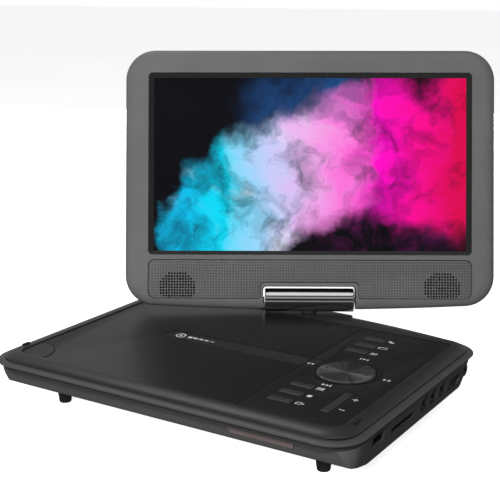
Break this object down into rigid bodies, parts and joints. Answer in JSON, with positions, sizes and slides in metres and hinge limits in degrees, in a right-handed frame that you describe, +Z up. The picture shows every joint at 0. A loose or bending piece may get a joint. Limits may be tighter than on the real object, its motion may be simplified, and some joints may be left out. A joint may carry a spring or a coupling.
{
  "type": "portable disc player",
  "caption": "Portable disc player: flat base with a hinged disc lid, a control panel, side ports and feet, and a wide screen that swivels and tilts on a chrome barrel.",
  "frame": {"origin": "on the surface the feet stand on, under the middle of the bounding box of the rest pose", "axes": "+X to the right as seen from the front, +Y to the back (the hinge side), +Z up"},
  "size_m": [0.2654, 0.2982, 0.2209],
  "materials": {
    "black_plastic": "fine-textured black plastic",
    "grey_plastic": "fine-textured dark grey plastic",
    "deck_plastic": "smooth satin black plastic",
    "key_plastic": "satin dark grey plastic",
    "spun_metal": "dark spun finish",
    "chrome": "polished",
    "steel": "plain",
    "rubber": "matte black",
    "board": "green solder mask",
    "battery": "blue shrink film",
    "lcd": "satin display surface",
    "backlight": "white moulded frame",
    "lens": "clear blue",
    "window": "smoked translucent",
    "socket_plastic": "black moulded plastic"
  },
  "bodies": {
    "base": {"bottom_shell": "grey_plastic", "top_shell": "black_plastic", "control_panel": "deck_plastic", "hinge_housing": "black_plastic", "usb_socket": "steel", "card_socket": "socket_plastic", "headphone_jack": "socket_plastic", "av_out_jack": "socket_plastic", "av_in_jack": "socket_plastic", "dc_jack": "socket_plastic", "ir_window": "window", "foot_front_left": "rubber", "foot_front_right": "rubber", "foot_back_left": "rubber", "foot_back_right": "rubber", "bumper_left": "rubber", "bumper_right": "rubber", "base_screw_front": "steel", "base_screw_left": "steel", "base_screw_right": "steel", "drive_chassis": "steel", "spindle_motor": "steel", "guide_rod_left": "steel", "guide_rod_right": "steel", "main_board": "board", "key_board": "board", "battery_pack": "battery"},
    "swivel": {"hinge_barrel": "chrome", "swivel_shaft": "steel", "swivel_washer": "steel", "tilt_pin_left": "steel", "tilt_pin_right": "steel"},
    "screen": {"front_bezel": "grey_plastic", "speaker_grille": "grey_plastic", "back_cover": "black_plastic", "lcd_panel": "lcd", "lcd_backlight": "backlight", "screen_board": "board", "speaker_left": "socket_plastic", "speaker_right": "socket_plastic", "hinge_bracket_left": "steel", "hinge_bracket_right": "steel"},
    "lid": {"disc_lid": "deck_plastic"},
    "release": {"release_button": "deck_plastic"},
    "latch": {"lid_latch": "socket_plastic"},
    "key_u1": {"key_upper_1": "key_plastic"},
    "key_u2": {"key_upper_2": "key_plastic"},
    "key_u3": {"key_upper_3": "key_plastic"},
    "key_l1": {"key_lower_1": "key_plastic"},
    "key_l2": {"key_lower_2": "key_plastic"},
    "key_l3": {"key_lower_3": "key_plastic"},
    "nav_gimbal": {"nav_carrier": "key_plastic"},
    "nav": {"nav_disc": "spun_metal"},
    "volume": {"volume_rocker": "key_plastic"},
    "power": {"power_switch": "key_plastic"},
    "hub": {"disc_hub": "socket_plastic"},
    "pickup": {"laser_pickup": "socket_plastic", "laser_lens": "lens"}
  },
  "joints": [
    {"name": "screen_swivel", "type": "hinge", "parent": "base", "child": "swivel", "pos_m": [0.00174, 0.0436, 0.0364], "axis": [0, 0, 1], "range_deg": [-121.4, 148.6]},
    {"name": "screen_tilt", "type": "hinge", "parent": "swivel", "child": "screen", "pos_m": [0.00174, 0.0436, 0.0457], "axis": [0.8536, 0.521, 0], "range_deg": [-76, 104]},
    {"name": "lid_open", "type": "hinge", "parent": "base", "child": "lid", "pos_m": [0.00174, 0.0291, 0.036], "axis": [-1, 0, 0], "range_deg": [0, 5.2]},
    {"name": "release_press", "type": "slide", "parent": "base", "child": "release", "axis": [0, 0, -1], "range_m": [0, 0.0006], "stiffness_N_per_m": 500, "springref_m": -0.0006},
    {"name": "latch_slide", "type": "slide", "parent": "base", "child": "latch", "axis": [1, 0, 0], "range_m": [0, 0.0012]},
    {"name": "key_upper_1_press", "type": "slide", "parent": "base", "child": "key_u1", "axis": [0, 0, -1], "range_m": [0, 0.0007], "stiffness_N_per_m": 400, "springref_m": -0.0005},
    {"name": "key_upper_2_press", "type": "slide", "parent": "base", "child": "key_u2", "axis": [0, 0, -1], "range_m": [0, 0.0007], "stiffness_N_per_m": 400, "springref_m": -0.0005},
    {"name": "key_upper_3_press", "type": "slide", "parent": "base", "child": "key_u3", "axis": [0, 0, -1], "range_m": [0, 0.0007], "stiffness_N_per_m": 400, "springref_m": -0.0005},
    {"name": "key_lower_1_press", "type": "slide", "parent": "base", "child": "key_l1", "axis": [0, 0, -1], "range_m": [0, 0.0007], "stiffness_N_per_m": 400, "springref_m": -0.0005},
    {"name": "key_lower_2_press", "type": "slide", "parent": "base", "child": "key_l2", "axis": [0, 0, -1], "range_m": [0, 0.0007], "stiffness_N_per_m": 400, "springref_m": -0.0005},
    {"name": "key_lower_3_press", "type": "slide", "parent": "base", "child": "key_l3", "axis": [0, 0, -1], "range_m": [0, 0.0007], "stiffness_N_per_m": 400, "springref_m": -0.0005},
    {"name": "nav_tip_up_down", "type": "hinge", "parent": "base", "child": "nav_gimbal", "pos_m": [0.08174, -0.0537, 0.0336], "axis": [1, 0, 0], "range_deg": [-1.4, 1.4], "stiffness_Nm_per_rad": 0.4},
    {"name": "nav_tip_left_right", "type": "hinge", "parent": "nav_gimbal", "child": "nav", "pos_m": [0.08174, -0.0537, 0.0336], "axis": [0, 1, 0], "range_deg": [-1.4, 1.4], "stiffness_Nm_per_rad": 0.4},
    {"name": "volume_rock", "type": "hinge", "parent": "base", "child": "volume", "pos_m": [0.09974, -0.1004, 0.0339], "axis": [1, 0, 0], "range_deg": [-1.5, 1.5], "stiffness_Nm_per_rad": 0.3},
    {"name": "power_slide", "type": "slide", "parent": "base", "child": "power", "axis": [0, 1, 0], "range_m": [0, 0.004]},
    {"name": "hub_spin", "type": "hinge", "parent": "base", "child": "hub", "pos_m": [-0.03076, -0.0519, 0.031], "axis": [0, 0, 1], "continuous": true},
    {"name": "pickup_slide", "type": "slide", "parent": "base", "child": "pickup", "axis": [0, -1, 0], "range_m": [0, 0.033]}
  ],
  "couplings": [
    {"joint": "latch_slide", "follows": "release_press", "ratio": 2}
  ]
}
